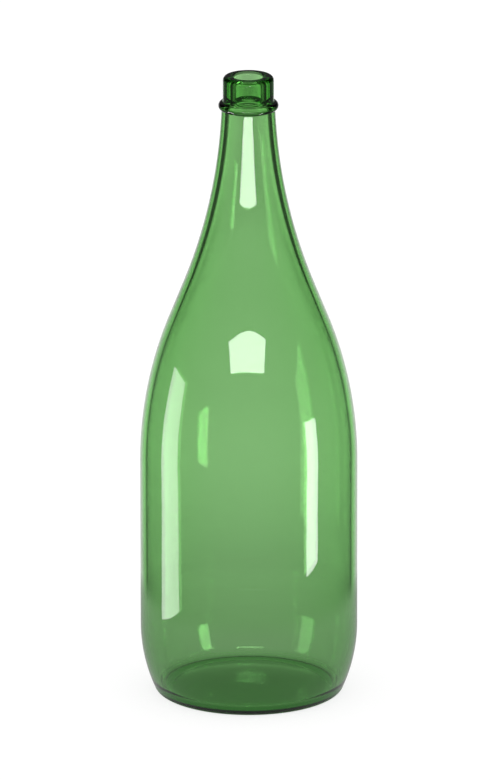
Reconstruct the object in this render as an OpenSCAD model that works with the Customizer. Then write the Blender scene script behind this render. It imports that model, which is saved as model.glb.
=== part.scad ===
// Long-necked glass demijohn: one hollow body of moulded green glass, open at the mouth.
// The base stands on z = 0 and the bottle's axis is Z. The wall's section is one closed outline
// of tangent arcs and straights, in [distance from the axis, height], turned about the axis.
// Outside, from below: base corner, heel, straight side, shoulder, cone, neck sweep, ring, lip.
// Inside, from above: mouth edge, cork bore, flare, neck, shoulder, side, heel, floor corner.

/* [Body] */
// Overall height, from the base to the top of the lip
total_h = 421; // [405:1:450]
// Outside diameter of the straight side
body_d = 143.5; // [138:0.5:150]
// Height above the base at which the heel curve meets the straight side
heel_h = 46; // [40:0.5:52]
// Radius of the long heel curve
heel_r = 106.5; // [98:0.5:120]
// Radius of the small corner between the heel curve and the base
base_corner_r = 5; // [4:0.5:7]

/* [Shoulder] */
// Radius of the outward shoulder curve
shoulder_r = 261; // [250:1:275]
// Lean of the cone between shoulder and neck, from the vertical, in degrees
shoulder_lean = 22; // [21.5:0.1:24]

/* [Neck] */
// Radius of the inward neck sweep
neck_r = 358; // [340:1:375]
// Outside diameter of the neck where it meets the ring
neck_d = 35.4; // [34.6:0.2:36.4]
// Lean of the neck just under the ring, from the vertical, in degrees
neck_lean = 2.4; // [1.6:0.2:4]

/* [Finish] */
// Outside diameter of the lip
lip_d = 33.6; // [32.6:0.2:34.4]
// Height of the top of the lip above the middle of the ring
lip_h = 20; // [18:0.5:22]
// Radius of the lip's rounded outer edge
lip_edge_r = 3; // [2:0.1:3.6]
// Diameter over the ring
ring_d = 39.6; // [38.6:0.2:40.6]
// Section radius of the ring
ring_r = 2.8; // [2.5:0.1:3.2]
// Radius of the blends from the ring to the lip and to the neck
ring_blend_r = 0.6; // [0.4:0.1:1.2]

/* [Bore] */
// Diameter of the cork bore in the lip
bore_d = 18.5; // [17:0.1:19.5]
// Depth of the lower end of the cork bore below the top of the lip
bore_h = 16.5; // [12:0.5:18]
// Radius of the bore's rounded edge at the mouth
mouth_edge_r = 2; // [0.8:0.1:2.8]

/* [Glass] */
// Wall thickness of the side and the heel
side_wall = 4.5; // [3.8:0.1:5.2]
// Wall thickness of the cone and the neck
neck_wall = 4.6; // [3.8:0.1:5.2]
// Height of the floor's edge above the plane that the bottle stands on
floor_t = 3; // [2.5:0.25:6]
// Rise of the floor from its edge to its middle
floor_rise = 2.5; // [1.5:0.25:4]
// Radius of the corner between the inside of the heel and the floor
floor_corner_r = 12; // [6:0.5:16]
// Height of the shallow hollow under the base
pushup_h = 2.5; // [1:0.25:3]
// Width of the flat ring that the bottle stands on
bearing_w = 7; // [5:0.5:10]

/* [Hidden] */
$fn = 240;

step_small = 10;              // degrees between points on the small edge arcs
step_large = 1.25;            // degrees between points on the long curves

body_r = body_d / 2;
lip_r = lip_d / 2;
bore_r = bore_d / 2;
ring_z = total_h - lip_h;
ring_c = [ring_d / 2 - ring_r, ring_z];

// Angles on the ring's section at which the blends meet it.
blend_reach = ring_r + ring_blend_r;
neck_blend_a = acos((neck_d / 2 + ring_blend_r - ring_c[0]) / blend_reach);
lip_blend_a = acos((lip_r + ring_blend_r - ring_c[0]) / blend_reach);
neck_top_z = ring_z - blend_reach * sin(neck_blend_a);

// The cone is as long as the distance left between side and neck, and the straight side as
// high as what is left below the shoulder.
cone_in = body_r - neck_d / 2 - shoulder_r * (1 - cos(shoulder_lean))
    - neck_r * (cos(neck_lean) - cos(shoulder_lean));
side_top_z = neck_top_z - neck_r * (sin(shoulder_lean) - sin(neck_lean))
    - cone_in / tan(shoulder_lean) - shoulder_r * sin(shoulder_lean);

// Centres of the long curves.
heel_c = [body_r - heel_r, heel_h];
shoulder_c = [body_r - shoulder_r, side_top_z];
neck_c = [neck_d / 2 + neck_r * cos(neck_lean), neck_top_z + neck_r * sin(neck_lean)];

// Inside radius of the shoulder, which takes the wall from side_wall to neck_wall.
shoulder_in_r = shoulder_r
    + (side_wall * cos(shoulder_lean) - neck_wall) / (1 - cos(shoulder_lean));
shoulder_in_c = [body_r - side_wall - shoulder_in_r, side_top_z];

// A point at the angle a on a circle of radius r about c.
function on_circle(c, r, a) = [c[0] + r * cos(a), c[1] + r * sin(a)];

// Points on an arc about c, from angle a0 to angle a1, at most step degrees apart.
function arc(c, r, a0, a1, step) =
    let (n = ceil(abs(a1 - a0) / step))
    [for (i = [0:n]) on_circle(c, r, a0 + (a1 - a0) * i / n)];

function but_first(points) = [for (i = [1:len(points) - 1]) points[i]];

// The same arc without its first point, for an arc that carries on from another.
function arc_on(c, r, a0, a1, step) = but_first(arc(c, r, a0, a1, step));

// Angle below the horizontal at which a corner of radius r, standing at height z, meets a
// heel curve of radius big_r.
function corner_angle(big_r, r, z) = asin((heel_h - z - r) / (big_r - r));

// The corner and the heel curve above it, upwards, from a flat at height z.
function foot(big_r, r, z) =
    let (a = corner_angle(big_r, r, z))
    concat(
        arc(on_circle(heel_c, big_r - r, -a), r, -90, -a, step_small),
        arc_on(heel_c, big_r, -a, 0, step_large)
    );

// A shallow dome of the given rise, from the axis out to its edge at height z.
function dome(edge, z, rise) =
    let (
        r = (edge * edge + rise * rise) / (2 * rise),
        a = asin(edge / r)
    )
    arc([0, z + rise - r], r, 90, 90 - a, a / 6);

// The shallow hollow under the base, from the axis out to the bearing ring.
function hollow() = dome(foot(heel_r, base_corner_r, 0)[0][0] - bearing_w, 0, pushup_h);

// Ring with its two blends, and the lip's outer edge, upwards.
function finish() = concat(
    arc_on([neck_d / 2 + ring_blend_r, neck_top_z], ring_blend_r, 180, 180 - neck_blend_a,
        step_small),
    arc_on(ring_c, ring_r, -neck_blend_a, lip_blend_a, step_small),
    arc_on([lip_r + ring_blend_r, ring_z + blend_reach * sin(lip_blend_a)], ring_blend_r,
        180 + lip_blend_a, 180, step_small),
    arc([lip_r - lip_edge_r, total_h - lip_edge_r], lip_edge_r, 0, 90, step_small)
);

// The whole outside, from the axis under the base up to the top of the lip.
function outside() = concat(
    hollow(),
    foot(heel_r, base_corner_r, 0),
    arc(shoulder_c, shoulder_r, 0, shoulder_lean, step_large),
    arc(neck_c, neck_r, 180 + shoulder_lean, 180 + neck_lean, step_large),
    finish()
);

// The S-shaped flare, upwards from the neck's cavity to the bore, as two equal arcs.
function flare(start) =
    let (
        inward = start[0] - bore_r,
        rise = total_h - bore_h - start[1],
        a = 2 * atan(inward / rise),
        r = rise / (2 * sin(a))
    )
    concat(
        arc_on([start[0] - r, start[1]], r, 0, a, step_small),
        arc_on([bore_r + r, total_h - bore_h], r, 180 + a, 180, step_small)
    );

// The whole inside, from the axis at the domed floor up to the mouth's edge.
function inside() =
    let (
        heel = foot(heel_r - side_wall, floor_corner_r, floor_t),
        neck_in_top = on_circle(neck_c, neck_r + neck_wall, 180 + neck_lean)
    )
    concat(
        dome(heel[0][0], floor_t, floor_rise),
        but_first(heel),
        arc(shoulder_in_c, shoulder_in_r, 0, shoulder_lean, step_large),
        arc(neck_c, neck_r + neck_wall, 180 + shoulder_lean, 180 + neck_lean, step_large),
        flare(neck_in_top),
        arc([bore_r + mouth_edge_r, total_h - mouth_edge_r], mouth_edge_r, 180, 90, step_small)
    );

function reversed(points) = [for (i = [len(points) - 1:-1:0]) points[i]];

module bottle() {
    color([0.42, 0.68, 0.38, 0.55])
        rotate_extrude()
            polygon(concat(outside(), reversed(inside())));
}

bottle();
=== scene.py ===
"""Green glass demijohn: the bottle's wall as a finely turned mesh, its glass, and a studio."""

from math import acos, asin, atan, ceil, cos, degrees, pi, radians, sin, tan

import bpy
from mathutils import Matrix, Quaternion, Vector


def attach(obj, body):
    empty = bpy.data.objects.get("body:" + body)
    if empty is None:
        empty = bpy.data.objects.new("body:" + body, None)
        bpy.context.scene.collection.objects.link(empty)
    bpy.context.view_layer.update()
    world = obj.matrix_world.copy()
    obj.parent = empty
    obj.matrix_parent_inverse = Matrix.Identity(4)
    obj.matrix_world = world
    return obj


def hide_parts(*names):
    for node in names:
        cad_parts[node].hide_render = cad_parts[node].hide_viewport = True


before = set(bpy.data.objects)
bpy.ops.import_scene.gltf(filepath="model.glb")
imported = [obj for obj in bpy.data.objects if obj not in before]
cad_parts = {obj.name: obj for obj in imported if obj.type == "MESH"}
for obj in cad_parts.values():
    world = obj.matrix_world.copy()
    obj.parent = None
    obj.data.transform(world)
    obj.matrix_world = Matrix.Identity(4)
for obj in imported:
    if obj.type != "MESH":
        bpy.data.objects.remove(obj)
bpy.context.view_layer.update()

MM = 0.001

# ---------------------------------------------------------------- the bottle's shape, in mm
TOTAL_H = 421.0
BODY_D = 143.5
HEEL_H = 46.0
HEEL_R = 106.5
BASE_CORNER_R = 5.0
SHOULDER_R = 261.0
SHOULDER_LEAN = 22.0
NECK_R = 358.0
NECK_D = 35.4
NECK_LEAN = 2.4
LIP_D = 33.6
LIP_H = 20.0
LIP_EDGE_R = 3.0
RING_D = 39.6
RING_R = 2.8
RING_BLEND_R = 0.6
BORE_D = 18.5
BORE_H = 16.5
MOUTH_EDGE_R = 2.0
SIDE_WALL = 4.5
NECK_WALL = 4.6
FLOOR_T = 3.0
FLOOR_CORNER_R = 12.0
FLOOR_RISE = 2.5
PUSHUP_H = 2.5
BEARING_W = 7.0

TURNS = 256                # points round the bottle
SMALL_STEP = 4.0           # degrees between points on the small edge arcs
BLEND_STEP = 8.0           # degrees between points on the ring's tiny blends
LARGE_STEP = 0.5           # degrees between points on the long curves
DOME_STEPS = 12            # points across each shallow dome

# ---------------------------------------------------------------- the glass
GLASS_IOR = 1.5
GLASS_COLOUR = (0.35, 0.725, 0.25, 1)
GLASS_DENSITY = 232.0      # per metre
RIPPLE_SCALE = 45.0        # ripples in a metre
RIPPLE_DEPTH = 0.0002      # metres
RIPPLE_STRENGTH = 0.25
RIPPLE_STRETCH = (1, 1, 0.35)
STIPPLE = (0.0027, 0.003, 0.3, 0.0)        # roughness, by height in metres: see ramp()

# ---------------------------------------------------------------- the studio, in metres and degrees
WHITE = (1, 1, 1, 1)
# Colour of the painted green shadow on the floor under the bottle, as seen through the glass.
PAINTED_GREEN_SHADOW = (0.2, 0.5, 0.16, 1)
FLOOR_R = 3.0
FLOOR_SIDES = 64
FLOOR_GLOW = 1.05
FLOOR_GLOW_SHARE = 0.75    # the rest of the floor's light is diffuse and takes shadows
FLOOR_WHITE = (0.95, 0.95, 0.95, 1)
FLOOR_MIRRORED_LEVEL = 0.5
BACKGROUND_LEVEL = 1.2
CAMERA_ELEVATION = 16.9
CAMERA_DISTANCE = 8.567
CAMERA_AIM = (-0.00245, 0, 0.2061)
CAMERA_ROLL = -0.0012      # radians
CAMERA_LENS = 600          # mm
CAMERA_SENSOR = 36         # mm

# Changes of level in the studio, each for ramp(): from, to, level before, level after.
SCREEN_MIDDLE = (1, 11, 0.9, 1.17)         # by degrees round from the backdrop's middle
SCREEN_EDGE = (12, 20, 0.0, 0.35)
FLAG = (27, 37, 1.0, 0.06)
ROOM = (50, 75, 0.0, 0.6)
MIRRORED_SCREEN = (18, 40, 0.85, 0.15)
ABOVE = (0.05, 0.35, 1.0, 0.3)             # by a direction's rise, as its sine
BELOW = (-0.6, -0.36, 0.35, 1.0)
MIRRORED_ABOVE = (-0.1, 0.1, 1.0, 0.1)
# Reach of the painted green shadow under the bottle, on the floor as seen in the glass:
GREEN_SHADOW_REACH = (0.056, 0.066, 0.0, 1.0)      # by metres from the bottle's axis
# Painted shade on the floor as seen in the glass, dimmer towards the bottle:
PAINTED_SHADE_NEAR = (0.04, 0.55, 0.5, 1.0)
TABLE_EDGE = (0.23, 0.29, 0.0, 1.0)
FLOOR_FAR = (1.0, 1.3, 1.0, 0.78)


def on_circle(c, r, a):
    return (c[0] + r * cos(radians(a)), c[1] + r * sin(radians(a)))


def arc(c, r, a0, a1, step, outward=True):
    """Points on an arc with their normals, from angle a0 to angle a1. The glass lies inside the
    arc where outward is true, and outside it where it is false."""
    n = ceil(abs(a1 - a0) / step)
    side = 1 if outward else -1
    angles = [a0 + (a1 - a0) * i / n for i in range(n + 1)]
    return [(on_circle(c, r, a), on_circle((0, 0), side, a)) for a in angles]


def corner_angle(big_r, r, z):
    return degrees(asin((HEEL_H - z - r) / (big_r - r)))


def section():
    """The wall's closed section as (point, normal) pairs, from the axis under the base, up the
    outside, over the lip and down the inside to the axis at the floor."""
    body_r, lip_r, bore_r, neck_r = BODY_D / 2, LIP_D / 2, BORE_D / 2, NECK_D / 2
    ring_c = (RING_D / 2 - RING_R, TOTAL_H - LIP_H)
    reach = RING_R + RING_BLEND_R
    low_a = degrees(acos((neck_r + RING_BLEND_R - ring_c[0]) / reach))
    top_a = degrees(acos((lip_r + RING_BLEND_R - ring_c[0]) / reach))
    neck_top = ring_c[1] - reach * sin(radians(low_a))
    lean, top_lean = radians(SHOULDER_LEAN), radians(NECK_LEAN)
    cone_in = body_r - neck_r - SHOULDER_R * (1 - cos(lean)) - NECK_R * (cos(top_lean) - cos(lean))
    side_top = (neck_top - NECK_R * (sin(lean) - sin(top_lean)) - cone_in / tan(lean)
                - SHOULDER_R * sin(lean))
    heel_c = (body_r - HEEL_R, HEEL_H)
    shoulder_c = (body_r - SHOULDER_R, side_top)
    neck_c = (neck_r + NECK_R * cos(top_lean), neck_top + NECK_R * sin(top_lean))
    shoulder_in_r = SHOULDER_R + (SIDE_WALL * cos(lean) - NECK_WALL) / (1 - cos(lean))
    shoulder_in_c = (body_r - SIDE_WALL - shoulder_in_r, side_top)

    def foot(big_r, r, z, outward):
        a = corner_angle(big_r, r, z)
        return (arc(on_circle(heel_c, big_r - r, -a), r, -90, -a, SMALL_STEP, outward)
                + arc(heel_c, big_r, -a, 0, LARGE_STEP, outward)[1:])

    def dome(edge, z, rise, outward):
        r = (edge ** 2 + rise ** 2) / (2 * rise)
        a = degrees(asin(edge / r))
        return arc((0, z + rise - r), r, 90, 90 - a, a / DOME_STEPS, outward)

    outer_foot = foot(HEEL_R, BASE_CORNER_R, 0, True)
    inner_foot = foot(HEEL_R - SIDE_WALL, FLOOR_CORNER_R, FLOOR_T, False)
    outside = (
        dome(outer_foot[0][0][0] - BEARING_W, 0, PUSHUP_H, False)
        + outer_foot
        + arc(shoulder_c, SHOULDER_R, 0, SHOULDER_LEAN, LARGE_STEP)
        + arc(neck_c, NECK_R, 180 + SHOULDER_LEAN, 180 + NECK_LEAN, LARGE_STEP, False)
        + arc((neck_r + RING_BLEND_R, neck_top), RING_BLEND_R,
              180, 180 - low_a, BLEND_STEP, False)[1:]
        + arc(ring_c, RING_R, -low_a, top_a, SMALL_STEP)[1:]
        + arc((lip_r + RING_BLEND_R, ring_c[1] + reach * sin(radians(top_a))), RING_BLEND_R,
              180 + top_a, 180, BLEND_STEP, False)[1:]
        + arc((lip_r - LIP_EDGE_R, TOTAL_H - LIP_EDGE_R), LIP_EDGE_R, 0, 90, SMALL_STEP)
    )
    neck_in = arc(neck_c, NECK_R + NECK_WALL, 180 + SHOULDER_LEAN, 180 + NECK_LEAN, LARGE_STEP)
    start = neck_in[-1][0]
    rise = TOTAL_H - BORE_H - start[1]
    flare_a = degrees(2 * atan((start[0] - bore_r) / rise))
    flare_r = rise / (2 * sin(radians(flare_a)))
    inside = (
        dome(inner_foot[0][0][0], FLOOR_T, FLOOR_RISE, True)[:-1]
        + inner_foot
        + arc(shoulder_in_c, shoulder_in_r, 0, SHOULDER_LEAN, LARGE_STEP, False)
        + neck_in
        + arc((start[0] - flare_r, start[1]), flare_r, 0, flare_a, SMALL_STEP, False)[1:]
        + arc((bore_r + flare_r, TOTAL_H - BORE_H), flare_r, 180 + flare_a, 180, SMALL_STEP)[1:]
        + arc((bore_r + MOUTH_EDGE_R, TOTAL_H - MOUTH_EDGE_R), MOUTH_EDGE_R, 180, 90, SMALL_STEP)
    )
    return outside + inside[::-1]


def turned(name, outline):
    """A closed mesh of revolution from a section that starts and ends on the axis."""
    verts, normals, faces = [], [], []
    (first, _), (last, _) = outline[0], outline[-1]
    rings = outline[1:-1]
    verts.append((0, 0, first[1] * MM))
    normals.append((0, 0, -1))
    for (r, z), (nr, nz) in rings:
        for k in range(TURNS):
            a = 2 * pi * k / TURNS
            verts.append((r * cos(a) * MM, r * sin(a) * MM, z * MM))
            normals.append((nr * cos(a), nr * sin(a), nz))
    verts.append((0, 0, last[1] * MM))
    normals.append((0, 0, 1))
    for k in range(TURNS):
        nxt = (k + 1) % TURNS
        faces.append((0, 1 + nxt, 1 + k))
        for i in range(len(rings) - 1):
            low, high = 1 + i * TURNS, 1 + (i + 1) * TURNS
            faces.append((low + k, low + nxt, high + nxt, high + k))
        top = 1 + (len(rings) - 1) * TURNS
        faces.append((top + k, top + nxt, len(verts) - 1))
    mesh = bpy.data.meshes.new(name)
    mesh.from_pydata(verts, [], faces)
    mesh.shade_smooth()
    mesh.normals_split_custom_set_from_vertices(normals)
    piece = bpy.data.objects.new(name, mesh)
    bpy.context.scene.collection.objects.link(piece)
    return piece


# ---------------------------------------------------------------- materials
def node_tree(owner):
    owner.use_nodes = True
    owner.node_tree.nodes.clear()
    return owner.node_tree


def add(tree, kind, inputs=None, **settings):
    node = tree.nodes.new(kind)
    for key, value in settings.items():
        setattr(node, key, value)
    for key, value in (inputs or {}).items():
        if isinstance(value, bpy.types.NodeSocket):
            tree.links.new(value, node.inputs[key])
        else:
            node.inputs[key].default_value = value
    return node


def green_glass():
    """Clear glass that colours light by the thickness it crosses. Its surface has faint ripples
    drawn out along the bottle, and the underside is stippled."""
    material = bpy.data.materials.new("green_glass")
    tree = node_tree(material)
    here = add(tree, "ShaderNodeTexCoord").outputs["Object"]
    drawn = add(tree, "ShaderNodeMapping", {0: here, 3: RIPPLE_STRETCH})
    waves = add(tree, "ShaderNodeTexNoise", {
        "Vector": drawn.outputs[0], "Scale": RIPPLE_SCALE, "Detail": 1.0})
    ripple = add(tree, "ShaderNodeBump", {
        "Strength": RIPPLE_STRENGTH, "Distance": RIPPLE_DEPTH, "Height": waves.outputs[0]})
    height = add(tree, "ShaderNodeSeparateXYZ", {0: here}).outputs[2]
    stipple = ramp(tree, height, *STIPPLE)
    shader = add(tree, "ShaderNodeBsdfPrincipled", {
        "Base Color": WHITE, "Roughness": stipple, "IOR": GLASS_IOR, "Transmission Weight": 1.0,
        "Normal": ripple.outputs[0]})
    volume = add(tree, "ShaderNodeVolumeAbsorption", {
        "Color": GLASS_COLOUR, "Density": GLASS_DENSITY})
    out = add(tree, "ShaderNodeOutputMaterial")
    tree.links.new(shader.outputs[0], out.inputs["Surface"])
    tree.links.new(volume.outputs[0], out.inputs["Volume"])
    return material


# ---------------------------------------------------------------- studio
def ramp(tree, value, a0, a1, v0, v1):
    """A smooth change from v0, where value is a0, to v1, where it is a1."""
    return add(tree, "ShaderNodeMapRange", {
        "Value": value, "From Min": a0, "From Max": a1,
        "To Min": v0, "To Max": v1}, interpolation_type="SMOOTHSTEP").outputs[0]


def ramp_round(tree, angle, a0, a1, v0, v1):
    """The same over an angle, with a0 and a1 in degrees."""
    return ramp(tree, angle, radians(a0), radians(a1), v0, v1)


def maths(tree, operation, a, b=0.0):
    return add(tree, "ShaderNodeMath", {0: a, 1: b}, operation=operation).outputs[0]


def pick(tree, factor, a, b):
    """a where factor is 0 and b where it is 1."""
    mix = add(tree, "ShaderNodeMix", {"Factor": factor, "A": a, "B": b}, data_type="FLOAT")
    return mix.outputs[0]


def angle_off_back(tree, way):
    """Angle round the bottle between a direction and the middle of the backdrop, in radians."""
    xyz = add(tree, "ShaderNodeSeparateXYZ", {0: way})
    return maths(tree, "ABSOLUTE", maths(tree, "ARCTAN2", xyz.outputs[0], xyz.outputs[1]))


def backdrop(tree, way):
    """Brightness round the studio: a lit backdrop behind, dark flags beside it, a pale room."""
    side = angle_off_back(tree, way)
    middle = ramp_round(tree, side, *SCREEN_MIDDLE)
    edge = ramp_round(tree, side, *SCREEN_EDGE)
    screen = maths(tree, "ADD", middle, edge)
    flagged = maths(tree, "MULTIPLY", screen, ramp_round(tree, side, *FLAG))
    return maths(tree, "ADD", flagged, ramp_round(tree, side, *ROOM))


def mirrored_backdrop(tree, way):
    """What the outside of the glass mirrors: only the backdrop is bright."""
    return ramp_round(tree, angle_off_back(tree, way), *MIRRORED_SCREEN)


def world_light():
    """White to the camera, the backdrop through the glass, and its mirrored twin off the glass."""
    world = bpy.data.worlds.new("studio")
    bpy.context.scene.world = world
    tree = node_tree(world)
    way = add(tree, "ShaderNodeTexCoord").outputs["Generated"]
    rise = add(tree, "ShaderNodeSeparateXYZ", {0: way}).outputs[2]
    fall = maths(tree, "MULTIPLY", ramp(tree, rise, *ABOVE), ramp(tree, rise, *BELOW))
    through = maths(tree, "MULTIPLY", backdrop(tree, way), fall)
    above = ramp(tree, rise, *MIRRORED_ABOVE)
    mirrored = maths(tree, "MULTIPLY", mirrored_backdrop(tree, way), above)
    path = add(tree, "ShaderNodeLightPath")
    seen = pick(tree, path.outputs["Is Transmission Ray"], mirrored, through)
    level = pick(tree, path.outputs["Is Glossy Ray"], BACKGROUND_LEVEL, seen)
    shader = add(tree, "ShaderNodeBackground", {"Color": WHITE, "Strength": level})
    out = add(tree, "ShaderNodeOutputWorld")
    tree.links.new(shader.outputs[0], out.inputs["Surface"])


def floor_material():
    """White floor. In and through the glass it is a bright round table, with painted shade that
    makes it dimmer towards the bottle and a painted green shadow under it. Past the table's edge the
    studio shows, a little dimmer far behind."""
    material = bpy.data.materials.new("pale_floor")
    tree = node_tree(material)
    here = add(tree, "ShaderNodeTexCoord").outputs["Object"]
    far = add(tree, "ShaderNodeVectorMath", {0: here}, operation="LENGTH").outputs["Value"]
    beyond = ramp(tree, far, *TABLE_EDGE)
    # Painted shade: the floor seen in the glass is dimmer towards the bottle and a little dimmer far
    # behind.
    shade = maths(tree, "MULTIPLY", ramp(tree, far, *PAINTED_SHADE_NEAR), ramp(tree, far, *FLOOR_FAR))
    path = add(tree, "ShaderNodeLightPath")
    through = path.outputs["Is Transmission Ray"]
    # Painted green shadow: the floor under the bottle is green where the glass sees it.
    under = add(tree, "ShaderNodeMix", {
        "Factor": ramp(tree, far, *GREEN_SHADOW_REACH), 6: PAINTED_GREEN_SHADOW, 7: WHITE},
        data_type="RGBA").outputs[2]
    matt = add(tree, "ShaderNodeBsdfDiffuse", {"Color": FLOOR_WHITE})
    lit = add(tree, "ShaderNodeEmission", {"Color": WHITE, "Strength": FLOOR_GLOW})
    top = add(tree, "ShaderNodeMixShader", {
        0: FLOOR_GLOW_SHARE, 1: matt.outputs[0], 2: lit.outputs[0]})
    glow = add(tree, "ShaderNodeEmission", {
        "Color": under, "Strength": pick(tree, through, FLOOR_MIRRORED_LEVEL, shade)})
    open_side = add(tree, "ShaderNodeBsdfTransparent", {
        "Color": pick(tree, through, 1.0, shade)})
    seen = add(tree, "ShaderNodeMixShader", {0: beyond, 1: glow.outputs[0], 2: open_side.outputs[0]})
    mix = add(tree, "ShaderNodeMixShader", {
        0: path.outputs["Is Glossy Ray"], 1: top.outputs[0], 2: seen.outputs[0]})
    out = add(tree, "ShaderNodeOutputMaterial")
    tree.links.new(mix.outputs[0], out.inputs["Surface"])
    return material


def panel_glow(light):
    """The panel shows in reflections only, so it isn't seen straight through the glass."""
    tree = node_tree(light)
    mirrored = add(tree, "ShaderNodeLightPath").outputs["Glossy Depth"]
    shader = add(tree, "ShaderNodeEmission", {"Strength": maths(tree, "MINIMUM", mirrored, 1.0)})
    out = add(tree, "ShaderNodeOutputLight")
    tree.links.new(shader.outputs[0], out.inputs["Surface"])


def softbox(name, azimuth, distance, height, turn, tilt, width, length, radiance):
    """A panel light beside the bottle. azimuth is measured from the camera's side, to the right as
    seen by it. turn and tilt swing the panel from facing the axis squarely. Angles in degrees."""
    a, face, nod = radians(azimuth), radians(azimuth + turn), radians(tilt)
    light = bpy.data.lights.new(name, "AREA")
    light.shape = "RECTANGLE"
    light.size, light.size_y = width, length
    light.energy = radiance * pi * width * length
    panel_glow(light)
    lamp = bpy.data.objects.new(name, light)
    lamp.location = (sin(a) * distance, -cos(a) * distance, height)
    facing = Vector((-sin(face) * cos(nod), cos(face) * cos(nod), -sin(nod)))
    lamp.rotation_euler = facing.to_track_quat("-Z", "Y").to_euler()
    lamp.visible_camera = False
    lamp.visible_diffuse = False
    bpy.context.scene.collection.objects.link(lamp)


def floor():
    mesh = bpy.data.meshes.new("floor")
    turns = [2 * pi * k / FLOOR_SIDES for k in range(FLOOR_SIDES)]
    rim = [(FLOOR_R * cos(a), FLOOR_R * sin(a), 0) for a in turns]
    mesh.from_pydata(rim, [], [range(FLOOR_SIDES)])
    plane = bpy.data.objects.new("floor", mesh)
    mesh.materials.append(floor_material())
    bpy.context.scene.collection.objects.link(plane)


def camera():
    elevation = radians(CAMERA_ELEVATION)
    data = bpy.data.cameras.new("camera")
    data.sensor_width = CAMERA_SENSOR
    data.lens = CAMERA_LENS
    data.clip_end = 100
    cam = bpy.data.objects.new("camera", data)
    forward = Vector((0, cos(elevation), -sin(elevation)))
    cam.location = Vector(CAMERA_AIM) - forward * CAMERA_DISTANCE
    cam.rotation_mode = "QUATERNION"
    roll = Quaternion((0, 0, 1), CAMERA_ROLL)
    cam.rotation_quaternion = forward.to_track_quat("-Z", "Y") @ roll
    bpy.context.scene.collection.objects.link(cam)
    bpy.context.scene.camera = cam


bottle = turned("bottle_glass", section())
bottle.data.materials.append(green_glass())
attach(bottle, "root")
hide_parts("bottle")

world_light()
floor()
softbox("left_softbox", azimuth=-81.1, distance=0.25, height=0.128, turn=-21.2, tilt=-7.2,
        width=0.098, length=0.246, radiance=5.5)
softbox("right_softbox", azimuth=62.1, distance=0.25, height=0.119, turn=-22.7, tilt=1.4,
        width=0.065, length=0.159, radiance=11)
softbox("front_softbox", azimuth=-2.1, distance=0.306, height=0.351, turn=2.0, tilt=65.3,
        width=0.243, length=0.097, radiance=11)
camera()
bpy.context.scene.view_settings.view_transform = "Standard"
